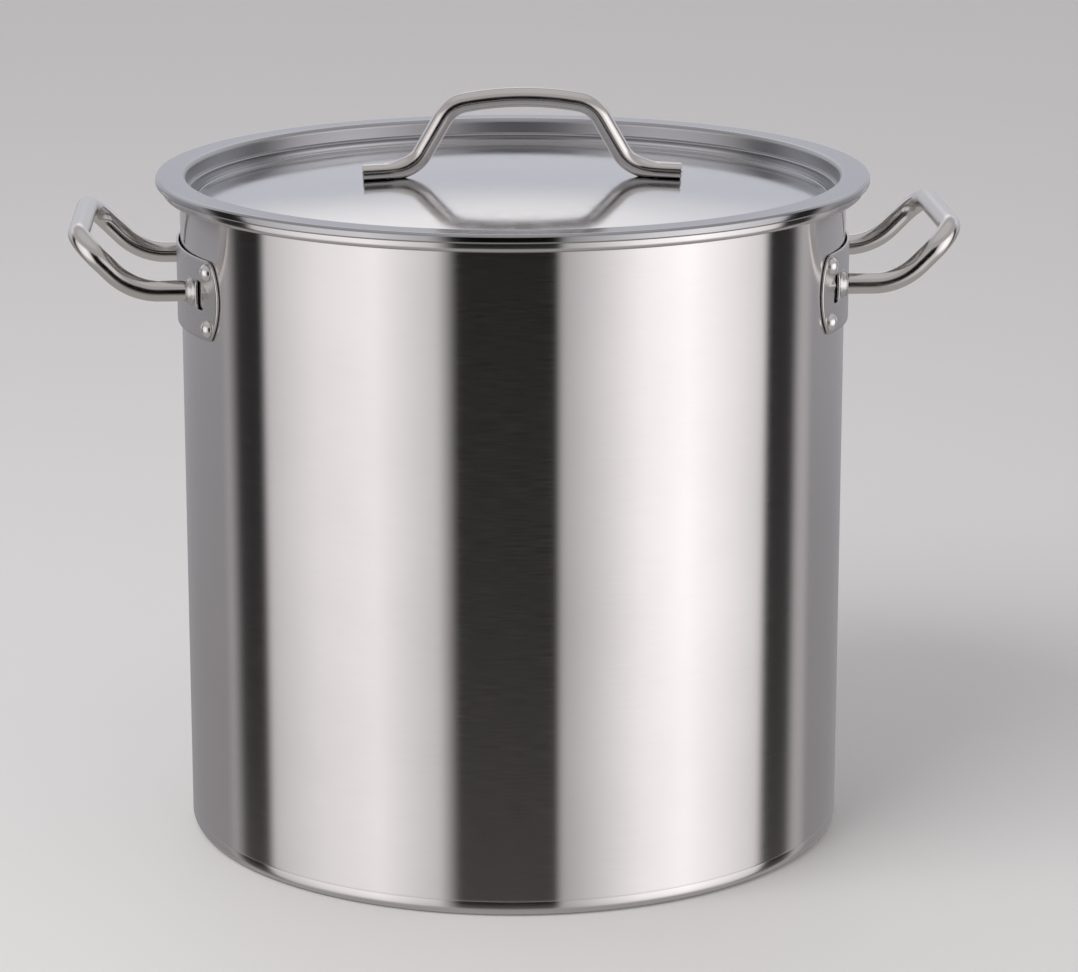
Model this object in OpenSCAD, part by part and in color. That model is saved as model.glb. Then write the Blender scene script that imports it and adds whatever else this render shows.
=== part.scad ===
// Stainless-steel stock pot of about 50 litres: rolled-rim body on a capped aluminium base,
// two riveted loop handles, and a lift-off lid with a bent tube grip.
// The pot stands on z = 0 with its axis on Z. The side handles lie along X.

/* [Pot body] */
// Outer diameter of the wall
pot_d = 402; // [398:1:410]
// Height from the ground to the top of the rim
pot_h = 403; // [360:1:440]
// Thickness of the body sheet
pot_t = 1; // [0.8:0.1:1.2]
// Outer radius of the bend between floor and wall
corner_r = 5; // [4:0.5:6]
// How far the rolled rim stands out from the inside of the wall
rim_w = 11.7; // [10:0.1:13]
// Height of the rolled rim
rim_h = 10; // [9:0.5:12]

/* [Base] */
// Thickness of the aluminium disc under the floor
disc_t = 4; // [3:0.5:6]
// Thickness of the stainless cap under the disc
cap_t = 0.6; // [0.5:0.1:0.8]
// Outer radius of the cap's bottom edge
cap_r = 5.4; // [5:0.1:6]

/* [Lid] */
// Outer diameter of the lid
lid_d = 430.4; // [430:0.1:434]
// Thickness of the lid sheet
lid_t = 0.9; // [0.8:0.1:1]
// Vertical play between the lid's flange and the rim
lid_play = 0.2; // [0.1:0.1:0.5]
// Height of the lid's turned-down edge
lid_edge_h = 5.3; // [5:0.1:6]
// Radius of the upper recess wall, on its upper side
recess_r = 196.9; // [196:0.1:197.5]
// Depth of the ledge below the flange
ledge_depth = 9.4; // [8:0.1:10]
// Radius of the domed panel
panel_r = 191; // [188:0.5:191]
// Depth of the panel's edge below the flange
panel_depth = 15.1; // [14:0.1:18]
// Rise of the panel from its edge to its centre
panel_rise = 12; // [8:0.5:14]

/* [Lid grip] */
// Outer diameter of the grip tube
grip_d = 12; // [11:0.5:13]
// Wall of the grip tube
grip_t = 1.2; // [1:0.1:1.4]
// Height of the tube's axis at the middle, above the panel's centre
grip_h = 47; // [42:1:52]
// Half of the grip's length over its feet
grip_half = 96.5; // [90:0.5:100]
// How far the grip sits to the right of the lid's centre
grip_shift = 5.5; // [0:0.5:8]
// Slope of the grip's legs
leg_angle = 60; // [55:1:65]
// Height of the flattened feet
foot_h = 9.5; // [8.5:0.1:10]

/* [Side handles] */
// Outer diameter of the handle tube
tube_d = 12.7; // [12:0.1:13.5]
// Wall of the handle tube
tube_t = 1.2; // [1:0.1:1.5]
// Distance between the axes of a handle's two arms
arm_gap = 122; // [118:1:124]
// Height of the arms' axes above the ground
arm_z = 344; // [320:1:350]
// How far from the pot's axis the arms start to bend up
bend_x = 212; // [208:1:216]
// Angle by which the arms bend up
bend_angle = 45; // [35:1:50]
// Radius of that bend, at the tube's axis
bend_r = 38; // [34:1:48]
// Straight length of an arm above the bend
slope_l = 11; // [6:1:16]
// Radius of the loop's corners, at the tube's axis
loop_r = 18; // [14:1:22]

/* [Handle plates] */
// Thickness of a plate
plate_t = 1.5; // [1.2:0.1:2.2]
// Gap between the middle of a plate and the wall
plate_gap = 1.1; // [0.8:0.1:1.6]
// Half of a plate's width, across the pot
plate_half = 98; // [97:0.1:100]
// Height of a plate's top corners above the ground
plate_top = 366.5; // [365:0.5:368]
// How far a plate's top edge dips at its middle
plate_dip = 1.5; // [1:0.5:4]
// Height of a plate's bottom edge above the ground, at its middle
plate_bottom = 316.5; // [314:0.5:318]
// Angle of the rivets from the middle of a plate, about the pot's axis
rivet_angle = 25.4; // [25:0.1:26]
// Height of the middle between an upper and a lower rivet
rivet_z = 343; // [341:1:345]
// Vertical distance between an upper and a lower rivet
rivet_gap = 33.6; // [32:0.1:35]
// Diameter of the flat top of the boss round each arm
boss_d = 14.8; // [14.7:0.1:15.2]
// Diameter of a boss at its foot
boss_foot_d = 19; // [18:0.5:20]
// Diameter of a rivet's shank
rivet_d = 5; // [4.5:0.5:5]
// Diameter of a rivet's domed head
rivet_head_d = 10.6; // [10:0.2:11.4]
// Height of a rivet's domed head
rivet_head_h = 4; // [3.4:0.1:4.4]

/* [Hidden] */

round_fn = 64;     // facets of small round things in the preview
turn_fn = 180;     // facets of the big turned shapes in the preview
eps = 0.5;         // how far a cutter runs past what it cuts

pot_r = pot_d / 2;
floor_z = cap_t + disc_t;                // underside of the pot's own floor
corner_z = floor_z + corner_r;           // height at which the wall becomes upright
cap_seam_z = corner_z - 1.4;             // where the cap's rim ends on the body's corner
lid_z = pot_h + lid_play + lid_t;        // top of the lid's flange
panel_z = lid_z - panel_depth;           // top of the panel at its edge
dome_r = (pow(panel_r, 2) + pow(panel_rise, 2)) / (2 * panel_rise);
crown_z = panel_z + panel_rise;          // top of the panel at its centre

// Points of an arc about [x, y], from angle a0 to angle a1
function arc(x, y, r, a0, a1, n = 8) =
    [for (i = [0:n]) [x + r * cos(a0 + (a1 - a0) * i / n), y + r * sin(a0 + (a1 - a0) * i / n)]];

function reversed(p) = [for (i = [len(p) - 1:-1:0]) p[i]];

// Direction square to a path at its point i
function side_of(p, i) =
    let (d = p[min(i + 1, len(p) - 1)] - p[max(i - 1, 0)])
    [-d[1], d[0]] / norm(d);

// A bent sheet seen from its edge: a band of thickness t along a path that stays right of the axis
module sheet(path, t) {
    left = [for (i = [0:len(path) - 1]) path[i] + side_of(path, i) * t / 2];
    right = [for (i = [0:len(path) - 1]) path[i] - side_of(path, i) * t / 2];
    polygon([for (p = concat(left, reversed(right))) [max(p[0], 0), p[1]]]);
}

// ---- pot body ----

wall_mid = pot_r - pot_t / 2;
rim_top = pot_h - pot_t / 2;
rim_low = pot_h - rim_h + pot_t / 2;
rim_out = pot_r - 2 * pot_t + rim_w + pot_t / 2;
rim_in_r = 3.2;     // bend at the mouth
rim_out_r = 3;      // bend at the rim's upper outer edge
rim_low_r = 2.6;    // bend at the rim's lower outer edge
rim_tuck_r = 1;     // bend that tucks the sheet's edge in under the rim
rim_tuck_x = pot_r + 2.3;

pot_path = concat(
    [[0, floor_z + pot_t / 2]],
    arc(pot_r - corner_r, corner_z, corner_r - pot_t / 2, -90, 0),
    [[wall_mid, corner_z + 1]],
    [[wall_mid, rim_top - rim_in_r - 1]],
    arc(wall_mid + rim_in_r, rim_top - rim_in_r, rim_in_r, 180, 90),
    arc(rim_out - rim_out_r, rim_top - rim_out_r, rim_out_r, 90, 0),
    arc(rim_out - rim_low_r, rim_low + rim_low_r, rim_low_r, 0, -90),
    arc(rim_tuck_x, rim_low + rim_tuck_r, rim_tuck_r, -90, -180, 4),
    [[rim_tuck_x - rim_tuck_r, rim_low + rim_tuck_r + 1]]
);

module pot_shell() {
    color("silver")
    difference() {
        rotate_extrude($fn = turn_fn)
            sheet(pot_path, pot_t);
        for (side = [-1, 1])
            for (end = [-1, 1])
                for (level = [-1, 1])
                    rivet_place(side, end, level)
                        rivet_hole();
    }
}

// ---- base ----

module base_heat_disc() {
    edge_r = disc_t;
    edge_x = pot_r - corner_r - 1.4;
    color("gainsboro")
    rotate_extrude($fn = turn_fn)
        polygon(concat([[0, cap_t]], arc(edge_x, floor_z, edge_r, -90, 0), [[0, floor_z]]));
}

module base_cap() {
    x = pot_r - cap_r;
    body_r = corner_r + 0.02;
    seam_a = asin((cap_seam_z - corner_z) / body_r);
    inner_r = cap_r - cap_t;
    meet_a = -acos((x + inner_r - (pot_r - corner_r)) / body_r);
    color("silver")
    rotate_extrude($fn = turn_fn)
        polygon(concat(
            [[0, 0]],
            arc(x, cap_r, cap_r, -90, 0),
            [[pot_r, cap_seam_z]],
            arc(pot_r - corner_r, corner_z, body_r, seam_a, meet_a, 4),
            arc(x, cap_r, inner_r, 0, -90),
            [[0, cap_t]]
        ));
}

// ---- side handles ----

plate_touch_y = plate_half - 1;                     // where a plate's ends touch the wall
plate_touch_x = sqrt(pow(pot_r + 0.1, 2) - pow(plate_touch_y, 2));
plate_front = pot_r + plate_gap;
// a plate is bent to a tighter circle than the wall, so its middle stands clear of it
plate_x = (pow(plate_touch_x, 2) + pow(plate_touch_y, 2) - pow(plate_front, 2))
    / (2 * (plate_touch_x - plate_front));
plate_in = plate_front - plate_x;
plate_out = plate_in + plate_t;
arm_y = arm_gap / 2;
arm_start = sqrt(pow(pot_r, 2) - pow(arm_y - tube_d / 2, 2)) + 0.8;
boss_sink = 0.6;                                    // how deep a boss's flat top is let into the plate
boss_x = plate_x + sqrt(pow(plate_out, 2) - pow(arm_y - boss_d / 2, 2)) - boss_sink;
slot_y = arm_y + 15;                                // middle of the slot beside an arm
slot_w = 11;
slot_h = 17;
head_play = 0.05;                                   // keeps a rivet's flat head clear of the curved plate
rivet_seat = plate_x * cos(rivet_angle)
    + sqrt(pow(plate_out, 2) - pow(plate_x * sin(rivet_angle), 2)) + head_play;

// Which way a handle faces: the left one is the right one turned half round the pot
module on_side(side) {
    rotate([0, 0, side > 0 ? 0 : 180])
        children();
}

// A rivet's place, pointing out of the wall; end and level are -1 or 1
module rivet_place(side, end, level) {
    on_side(side)
        rotate([0, 0, end * side * rivet_angle])
            translate([0, 0, rivet_z + level * rivet_gap / 2])
                rotate([0, 90, 0])
                    children();
}

module rivet_hole() {
    translate([0, 0, pot_r - 4])
        cylinder(d = rivet_d + 0.1, h = 10, $fn = round_fn);
}

// A shallow dome on z = 0
module dome(d, h) {
    r = (pow(d / 2, 2) + h * h) / (2 * h);
    intersection() {
        translate([0, 0, h - r])
            sphere(r, $fn = round_fn);
        cylinder(r = d, h = h + 1, $fn = round_fn);
    }
}

module rivet() {
    inner_seat = pot_r - pot_t;
    color("whitesmoke") {
        translate([0, 0, inner_seat - 0.5])
            cylinder(d = rivet_d, h = rivet_seat - inner_seat + 1, $fn = round_fn);
        translate([0, 0, rivet_seat])
            dome(rivet_head_d, rivet_head_h);
        translate([0, 0, inner_seat - 0.1])
            mirror([0, 0, 1])
                dome(8.5, 1.6);
    }
}

// Outline of a plate seen from outside: x is across the pot, y is up
module plate_outline() {
    end_r = 38.5;
    end_x = plate_half - end_r;
    end_z = rivet_z + 1;
    top_r = 9;
    top_in_x = end_x + sqrt(pow(end_r - top_r, 2) - pow(plate_top - top_r - end_z, 2));
    top_a = acos((top_in_x - end_x) / (end_r - top_r));
    tip_a = -39;
    tip = [end_x + end_r * cos(tip_a), end_z + end_r * sin(tip_a)];
    half = concat(
        [for (i = [0:5]) [top_in_x * i / 6, plate_top - plate_dip * (1 - pow(i / 6, 2))]],
        arc(top_in_x, plate_top - top_r, top_r, 90, top_a, 5),
        arc(end_x, end_z, end_r, top_a, tip_a, 10),
        [tip - [2.4, 1.3]],
        [for (i = [1:5]) [(tip[0] - 5) * (1 - i / 5), plate_bottom + 2 * pow(1 - i / 5, 2)]]
    );
    polygon(concat(half, [for (p = reversed(half)) [-p[0], p[1]]]));
}

// Raised boss that an arm stands in
module boss() {
    boss_h = 8;
    translate([boss_x - boss_h, arm_y, arm_z])
        rotate([0, 90, 0])
            cylinder(d1 = boss_foot_d, d2 = boss_d, h = boss_h, $fn = round_fn);
}

// Low pressed rib between a slot and the plate's end: a cone sunk into the plate
module rib() {
    rib_y = [slot_y + slot_w / 2 + 1, plate_half - 7];
    rib_r = [4.2, 3];
    sink_r = plate_out - 3.1;
    from = [plate_x + sqrt(pow(sink_r, 2) - pow(rib_y[0], 2)), rib_y[0]];
    to = [plate_x + sqrt(pow(sink_r, 2) - pow(rib_y[1], 2)), rib_y[1]];
    translate([from[0], from[1], arm_z + 3])
        rotate([0, 90, atan2(to[1] - from[1], to[0] - from[0])]) {
            cylinder(r1 = rib_r[0], r2 = rib_r[1], h = norm(to - from), $fn = round_fn);
            translate([0, 0, norm(to - from)])
                sphere(rib_r[1] + 0.1, $fn = round_fn);
        }
}

// Rounded upright slot beside an arm
module plate_slot() {
    r = 3;
    translate([0, slot_y, arm_z])
        rotate([90, 0, 90])
            linear_extrude(plate_front + 20)
                polygon(concat(
                    arc(slot_w / 2 - r, slot_h / 2 - r, r, 0, 90, 5),
                    arc(r - slot_w / 2, slot_h / 2 - r, r, 90, 180, 5),
                    arc(r - slot_w / 2, r - slot_h / 2, r, 180, 270, 5),
                    arc(slot_w / 2 - r, r - slot_h / 2, r, 270, 360, 5)
                ));
}

module handle_plate(side) {
    color("silver")
    on_side(side)
    difference() {
        union() {
            intersection() {
                translate([plate_x, 0, 0])
                    cylinder(r = plate_out, h = pot_h, $fn = 360);
                translate([plate_x, 0, 0])
                    rotate([90, 0, 90])
                        linear_extrude(plate_out + 5)
                            plate_outline();
            }
            for (end = [0, 1])
                mirror([0, end, 0]) {
                    boss();
                    rib();
                }
        }
        translate([plate_x, 0, -1])
            cylinder(r = plate_in, h = pot_h + 2, $fn = 360);
        for (end = [0, 1])
            mirror([0, end, 0]) {
                plate_slot();
                translate([plate_x, arm_y, arm_z])
                    rotate([0, 90, 0])
                        cylinder(d = tube_d + 0.1, h = plate_out + 20, $fn = round_fn);
                translate([boss_x, arm_y, arm_z])
                    rotate([0, 90, 0])
                        cylinder(d = boss_d, h = 20, $fn = round_fn);
            }
        for (end = [-1, 1])
            for (level = [-1, 1])
                rivet_place(1, end, level)
                    rivet_hole();
    }
}

// A bent tube is a chain of rods, cut by a chain of thinner rods. Each straight rod reaches
// a little into the bends beside it, and a bend is a hair thicker, so that they join cleanly.
lap = 0.1;
hair = 0.02;

// A straight rod along +X; its children start at its far end
module run(d, l) {
    translate([-lap, 0, 0])
        rotate([0, 90, 0])
            cylinder(d = d, h = l + 2 * lap, $fn = round_fn);
    translate([l, 0, 0])
        children();
}

// A rod that bends from +X towards +Z; its children start at its far end
module bend(d, r, a) {
    translate([0, 0, r])
        rotate([90, 90, 0])
            rotate_extrude(angle = a, $fn = turn_fn)
                translate([r, 0])
                    circle(d = d + hair, $fn = round_fn);
    translate([r * sin(a), 0, r * (1 - cos(a))])
        rotate([0, -a, 0])
            children();
}

// A side handle's loop as a rod of diameter d; its open ends stand out by reach
module loop_rod(d, reach) {
    cross_l = 2 * (arm_y - loop_r);
    for (end = [0, 1])
        mirror([0, end, 0])
            translate([arm_start - reach, -arm_y, arm_z])
                run(d, bend_x - arm_start + reach)
                    bend(d, bend_r, bend_angle)
                        run(d, slope_l)
                            rotate([-90, 0, 0])
                                bend(d, loop_r, 90)
                                    if (end == 0) run(d, cross_l);
}

module handle_tube(side) {
    color("lightgray")
    on_side(side)
        difference() {
            loop_rod(tube_d, 0);
            loop_rod(tube_d - 2 * tube_t, eps);
        }
}

// Thin weld that rings an arm where it enters its boss
module arm_weld(side, end) {
    weld_w = 0.9;
    weld_h = 0.9;
    color("darkgray")
    on_side(side)
        translate([boss_x, end * side * arm_y, arm_z])
            rotate([0, 90, 0])
                difference() {
                    cylinder(d1 = tube_d + 2 * weld_w, d2 = tube_d + 0.5, h = weld_h, $fn = round_fn);
                    translate([0, 0, -eps])
                        cylinder(d = tube_d + 0.04, h = weld_h + 2 * eps, $fn = round_fn);
                }
}

// ---- lid ----

flange_z = lid_z - lid_t / 2;
edge_x = lid_d / 2 - lid_t / 2;
edge_r = 1.6;              // bend from flange to turned-down edge
hem_r = 0.75;              // fold at the bottom of that edge
hem_z = lid_z - lid_edge_h + lid_t / 2 + hem_r;
recess_x = recess_r + lid_t / 2;
mouth_r = 2.5;             // bend from flange to recess
step_r = 1;                // bends either side of the ledge
step_x = recess_x - 2.4;   // upright of the lower recess wall
step_z = lid_z - ledge_depth - lid_t / 2;
foot_r = 0.8;              // bend between the lower wall and the panel

lid_path = concat(
    [for (i = [0:24])
        let (x = (panel_r - foot_r) * i / 24)
        [x, crown_z - lid_t / 2 - dome_r + sqrt(dome_r * dome_r - x * x)]],
    arc(panel_r - foot_r + 1.2, panel_z + foot_r, foot_r, -60, 0, 5),
    arc(step_x + step_r, step_z - step_r, step_r, 180, 90, 5),
    arc(recess_x - step_r, step_z + step_r, step_r, -90, 0, 5),
    arc(recess_x + mouth_r, flange_z - mouth_r, mouth_r, 180, 90),
    arc(edge_x - edge_r, flange_z - edge_r, edge_r, 90, 0),
    arc(edge_x - hem_r, hem_z, hem_r, 0, -180),
    [[edge_x - 2 * hem_r, hem_z + 1.2]]
);

module lid_shell() {
    color("silver")
    difference() {
        rotate_extrude($fn = turn_fn)
            sheet(lid_path, lid_t);
        for (side = [-1, 1])
            foot_frame(side)
                spot();
    }
}

// ---- lid grip ----

foot_lift = grip_d / 2 - 0.6;             // the tube's axis above the panel, at a foot
foot_mid = 85.6;                          // middle of a foot, from the grip's centre
foot_drop = dome_r - sqrt(dome_r * dome_r - foot_mid * foot_mid);
foot_angle = asin(foot_mid / dome_r);
arch_r = 190;                             // the long curve over the top
arch_angle = 10.5;
arch_lap = 0.04;                          // degrees by which the arch reaches into the shoulders
shoulder_r = 19;
ankle_r = 20;
shoulder = [arch_r * sin(arch_angle) + shoulder_r * (sin(leg_angle) - sin(arch_angle)),
    grip_h - arch_r * (1 - cos(arch_angle)) - shoulder_r * (cos(arch_angle) - cos(leg_angle))];
ankle = [ankle_r * (sin(leg_angle) - sin(foot_angle)),
    -ankle_r * (cos(foot_angle) - cos(leg_angle))];
// the leg is as long as it takes to bring the foot's axis down to its place on the panel
leg_l = (shoulder[1] + ankle[1] + foot_drop - foot_lift / cos(foot_angle)
    + (shoulder[0] + ankle[0] - foot_mid) * tan(foot_angle))
    / (sin(leg_angle) - cos(leg_angle) * tan(foot_angle));
foot_x = shoulder[0] + ankle[0] + leg_l * cos(leg_angle);
foot_z = shoulder[1] + ankle[1] - leg_l * sin(leg_angle);
foot_l = grip_half - foot_x;
spot_x = 5;                               // a spot weld's place along its foot

// The grip's own place: shifted along the panel's curve, standing square on it
module grip_frame() {
    translate([0, 0, crown_z - dome_r])
        rotate([0, asin(grip_shift / dome_r), 0])
            translate([0, 0, dome_r])
                children();
}

// Start of a foot's axis; side is -1 or 1
module foot_frame(side) {
    grip_frame()
        rotate([0, 0, side > 0 ? 0 : 180])
            translate([foot_x, 0, foot_z])
                rotate([0, foot_angle, 0])
                    children();
}

// A foot's body or bore: a round bar pressed flat on top and cut flat below
module foot_bar(d, inset, l) {
    ramp = 7;
    top = foot_h - foot_lift - inset;
    intersection() {
        translate([-lap, 0, 0])
            rotate([0, 90, 0])
                cylinder(d = d, h = l + lap, $fn = round_fn);
        translate([0, grip_d, 0])
            rotate([90, 0, 0])
                linear_extrude(2 * grip_d)
                    polygon([[-eps, -foot_lift + inset / 2], [l + eps, -foot_lift + inset / 2],
                        [l + eps, top], [ramp, top], [0, d / 2 + 0.2], [-eps, d / 2 + 0.2]]);
    }
}

// Shallow hole or disc of a spot weld, from the middle of the lid's sheet up into a foot's floor
module spot() {
    translate([spot_x, 0, -foot_lift - lid_t / 2])
        cylinder(d = 4.5, h = lid_t / 2 + 0.5, $fn = round_fn);
}

// The grip as a rod of diameter d, feet and all; inset is how far it lies inside the grip's own skin
module grip_rod(d, inset, reach) {
    grip_frame() {
        translate([0, 0, grip_h - arch_r])
            rotate([90, arch_angle + arch_lap - 90, 0])
                rotate_extrude(angle = 2 * (arch_angle + arch_lap), $fn = turn_fn)
                    translate([arch_r, 0])
                        circle(d = d, $fn = round_fn);
        for (side = [0, 1])
            mirror([side, 0, 0])
                translate([arch_r * sin(arch_angle), 0, grip_h - arch_r * (1 - cos(arch_angle))])
                    rotate([0, arch_angle, 0])
                        mirror([0, 0, 1])
                            bend(d, shoulder_r, leg_angle - arch_angle)
                                run(d, leg_l)
                                    mirror([0, 0, 1])
                                        bend(d, ankle_r, leg_angle - foot_angle);
    }
    for (side = [-1, 1])
        foot_frame(side)
            foot_bar(d, inset, foot_l + reach);
}

module lid_handle() {
    color("lightgray")
    difference() {
        grip_rod(grip_d, 0, 0);
        grip_rod(grip_d - 2 * grip_t, grip_t, eps);
        for (side = [-1, 1])
            foot_frame(side) {
                translate([-15, -grip_d, -foot_lift - 10])
                    cube([15 + foot_l + eps, 2 * grip_d, 10]);
                translate([spot_x, 0, foot_h - foot_lift + 2.6])
                    sphere(2.9, $fn = round_fn);
                spot();
            }
    }
}

module lid_weld(side) {
    color("darkgray")
    foot_frame(side)
        spot();
}

pot_shell();
base_heat_disc();
base_cap();
handle_plate(-1);  // left_handle_plate
handle_plate(1);  // right_handle_plate
handle_tube(-1);  // left_handle_tube
handle_tube(1);  // right_handle_tube
rivet_place(-1, -1, 1) rivet();  // left_rivet_front_upper
rivet_place(-1, -1, -1) rivet();  // left_rivet_front_lower
rivet_place(-1, 1, 1) rivet();  // left_rivet_rear_upper
rivet_place(-1, 1, -1) rivet();  // left_rivet_rear_lower
rivet_place(1, -1, 1) rivet();  // right_rivet_front_upper
rivet_place(1, -1, -1) rivet();  // right_rivet_front_lower
rivet_place(1, 1, 1) rivet();  // right_rivet_rear_upper
rivet_place(1, 1, -1) rivet();  // right_rivet_rear_lower
arm_weld(-1, -1);  // left_weld_front
arm_weld(-1, 1);  // left_weld_rear
arm_weld(1, -1);  // right_weld_front
arm_weld(1, 1);  // right_weld_rear
lid_shell();
lid_handle();
lid_weld(-1);  // lid_weld_left
lid_weld(1);  // lid_weld_right
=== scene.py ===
"""Looks of a stainless-steel stock pot with a lift-off lid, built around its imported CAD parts.

Shapes are written in millimetres and turned into metres as their meshes are made. The pot
stands on z = 0 with its axis on Z and its side handles along X; the camera looks about along +Y.
"""

import math

import bpy
from mathutils import Matrix, Vector, geometry


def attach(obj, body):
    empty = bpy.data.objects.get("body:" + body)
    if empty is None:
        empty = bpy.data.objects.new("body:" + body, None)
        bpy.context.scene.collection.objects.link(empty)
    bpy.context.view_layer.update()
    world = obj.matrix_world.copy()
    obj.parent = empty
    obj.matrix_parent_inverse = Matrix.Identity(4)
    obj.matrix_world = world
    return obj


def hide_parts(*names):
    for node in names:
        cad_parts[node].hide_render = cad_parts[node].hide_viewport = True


MM = 0.001

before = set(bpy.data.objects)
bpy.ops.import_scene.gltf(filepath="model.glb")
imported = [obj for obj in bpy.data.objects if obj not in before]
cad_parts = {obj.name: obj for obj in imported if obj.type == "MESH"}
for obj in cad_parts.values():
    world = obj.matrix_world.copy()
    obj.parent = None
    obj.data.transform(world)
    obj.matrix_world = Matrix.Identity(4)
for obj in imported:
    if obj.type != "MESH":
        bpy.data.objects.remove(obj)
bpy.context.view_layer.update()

# ---------------------------------------------------------------- driving sizes, mm

# pot body: outer wall, rolled rim, and the floor's rounded corner
POT_R = 201.0
POT_H = 403.0
SHEET = 1.0
CORNER_R = 5.0
FLOOR_Z = 4.6
RIM_W = 11.7
RIM_H = 10.0

# cap under the base: its thickness and its outer corner
CAP_T = 0.6
CAP_R = 5.4

# lid: its flange, the recess with a ledge half-way down, and the domed panel
LID_R = 215.2
LID_T = 0.9
LID_Z = 404.1
LID_EDGE_H = 5.3
RECESS_R = 196.9
LEDGE_DEPTH = 9.4
PANEL_R = 191.0
PANEL_DEPTH = 15.1
PANEL_RISE = 12.0

# the lid's grip: a bent tube with two pressed feet, each with a dimple over its spot weld
GRIP_D = 12.0
GRIP_T = 1.2
GRIP_H = 47.0
GRIP_HALF = 96.5
GRIP_SHIFT = 5.5
LEG_ANGLE = 60.0
FOOT_W = 13.4
FOOT_H = 9.5
FOOT_AXIS = GRIP_D / 2 - 0.6   # height of the tube's axis above a foot's sole
DIMPLE_X = 5.0                 # from a foot's start
DIMPLE_W = 2.2
DIMPLE_DEPTH = 1.1

# side handles: a loop of tube, whose arms enter a plate's bosses
TUBE_D = 12.7
TUBE_T = 1.2
ARM_Y = 61.0
ARM_Z = 344.0
BEND_X = 212.0
BEND_ANGLE = 45.0
BEND_R = 38.0
SLOPE_L = 11.0
LOOP_R = 18.0

# side handles: the plate, its rivets, bosses, pressed ribs and slots
PLATE_T = 1.5
PLATE_GAP = 1.1
PLATE_HALF = 98.0
PLATE_TOP = 366.5
PLATE_DIP = 1.5
PLATE_BOTTOM = 316.5
RIVET_ANGLE = 25.4
RIVET_Z = 343.0
RIVET_GAP = 33.6
BOSS_D = 14.8
BOSS_FOOT_D = 19.0
BOSS_H = 8.0
RIB_R = (4.2, 3.0)              # near the slot, at the far end
RIB_SINK = 3.1
RIB_Z = 347.0
SLOT_Y = 76.0
SLOT_SIZE = (11.0, 17.0, 3.0)   # width, height, corner radius
HOLE_PLAY = 0.05                # between an arm and its hole
PLATE_FILLET = 0.5              # of the plate's outline
HOLE_FILLET = 0.4               # of the edges of slots and arm holes
RIVET_D = 5.0
RIVET_HEAD_D = 10.6
RIVET_HEAD_H = 4.0

TURN_STEPS = 288   # steps round the big turned pieces
TUBE_STEPS = 48    # steps round a tube
CHAMFER = 0.3      # of a tube's cut ends and of a plate's inner edges
EASE = 1.0         # straight stretch between a run's last point and the arc beside it

# ---------------------------------------------------------------- outlines


def arc(x, y, r, a0, a1, steps=10):
    """Points of an arc about (x, y), from angle a0 to angle a1 in degrees."""
    angles = [math.radians(a0 + (a1 - a0) * i / steps) for i in range(steps + 1)]
    return [(x + r * math.cos(a), y + r * math.sin(a)) for a in angles]


def line(start, end, steps):
    """Points from start to end, both included."""
    return [tuple(a + (b - a) * i / steps for a, b in zip(start, end)) for i in range(steps + 1)]


def side_points(path, offset):
    """The path moved sideways by offset, to the left of its direction. The axis' points stay on it."""
    moved = []
    for i, (x, y) in enumerate(path):
        ax, ay = path[max(i - 1, 0)]
        bx, by = path[min(i + 1, len(path) - 1)]
        length = math.hypot(bx - ax, by - ay)
        aside = x - (by - ay) / length * offset if x > 0 else 0.0
        moved.append((aside, y + (bx - ax) / length * offset))
    return moved


def sheet_outline(path, t):
    """Outline of a sheet of thickness t along a path that starts on the axis, its free edge rounded."""
    left = side_points(path, t / 2)
    right = side_points(path, -t / 2)
    (x, y), (px, py) = path[-1], path[-2]
    heading = math.degrees(math.atan2(y - py, x - px))
    edge = arc(x, y, t / 2, heading + 90, heading - 90, 6)[1:-1]
    return left + edge + right[::-1]


# ---------------------------------------------------------------- mesh helpers


def add_piece(name, verts, faces, material, body, replaced):
    """Makes a smooth mesh of millimetre points, which stands for CAD nodes and rides on a body."""
    mesh = bpy.data.meshes.new(name)
    mesh.from_pydata([Vector(v) * MM for v in verts], [], faces)
    mesh.validate()
    mesh.shade_smooth()
    mesh.materials.append(material)
    piece = bpy.data.objects.new(name, mesh)
    bpy.context.scene.collection.objects.link(piece)
    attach(piece, body)
    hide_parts(*replaced)
    return piece


def paint_node(node, material):
    """Gives a CAD node that stays visible its material."""
    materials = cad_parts[node].data.materials
    materials.clear()
    materials.append(material)


def turned(outline, steps):
    """Verts and faces of an outline turned about Z. An end that lies on the axis closes in a fan."""
    verts, faces, rings = [], [], []
    for r, z in outline:
        if r < 1e-6:
            rings.append([len(verts)])
            verts.append(Vector((0, 0, z)))
            continue
        rings.append(list(range(len(verts), len(verts) + steps)))
        for i in range(steps):
            a = 2 * math.pi * i / steps
            verts.append(Vector((r * math.cos(a), r * math.sin(a), z)))
    for low, high in zip(rings, rings[1:]):
        for i in range(steps):
            j = (i + 1) % steps
            if len(low) == 1:
                faces.append((low[0], high[j], high[i]))
            elif len(high) == 1:
                faces.append((low[i], low[j], high[0]))
            else:
                faces.append((low[i], low[j], high[j], high[i]))
    return verts, faces


def facing_out(verts, faces):
    """Turns the faces over if they enclose a negative volume."""
    volume = 0.0
    for f in faces:
        a = verts[f[0]]
        for b, c in zip(f[1:], f[2:]):
            volume += a.dot(verts[b].cross(verts[c]))
    return faces if volume > 0 else [tuple(reversed(f)) for f in faces]


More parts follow.
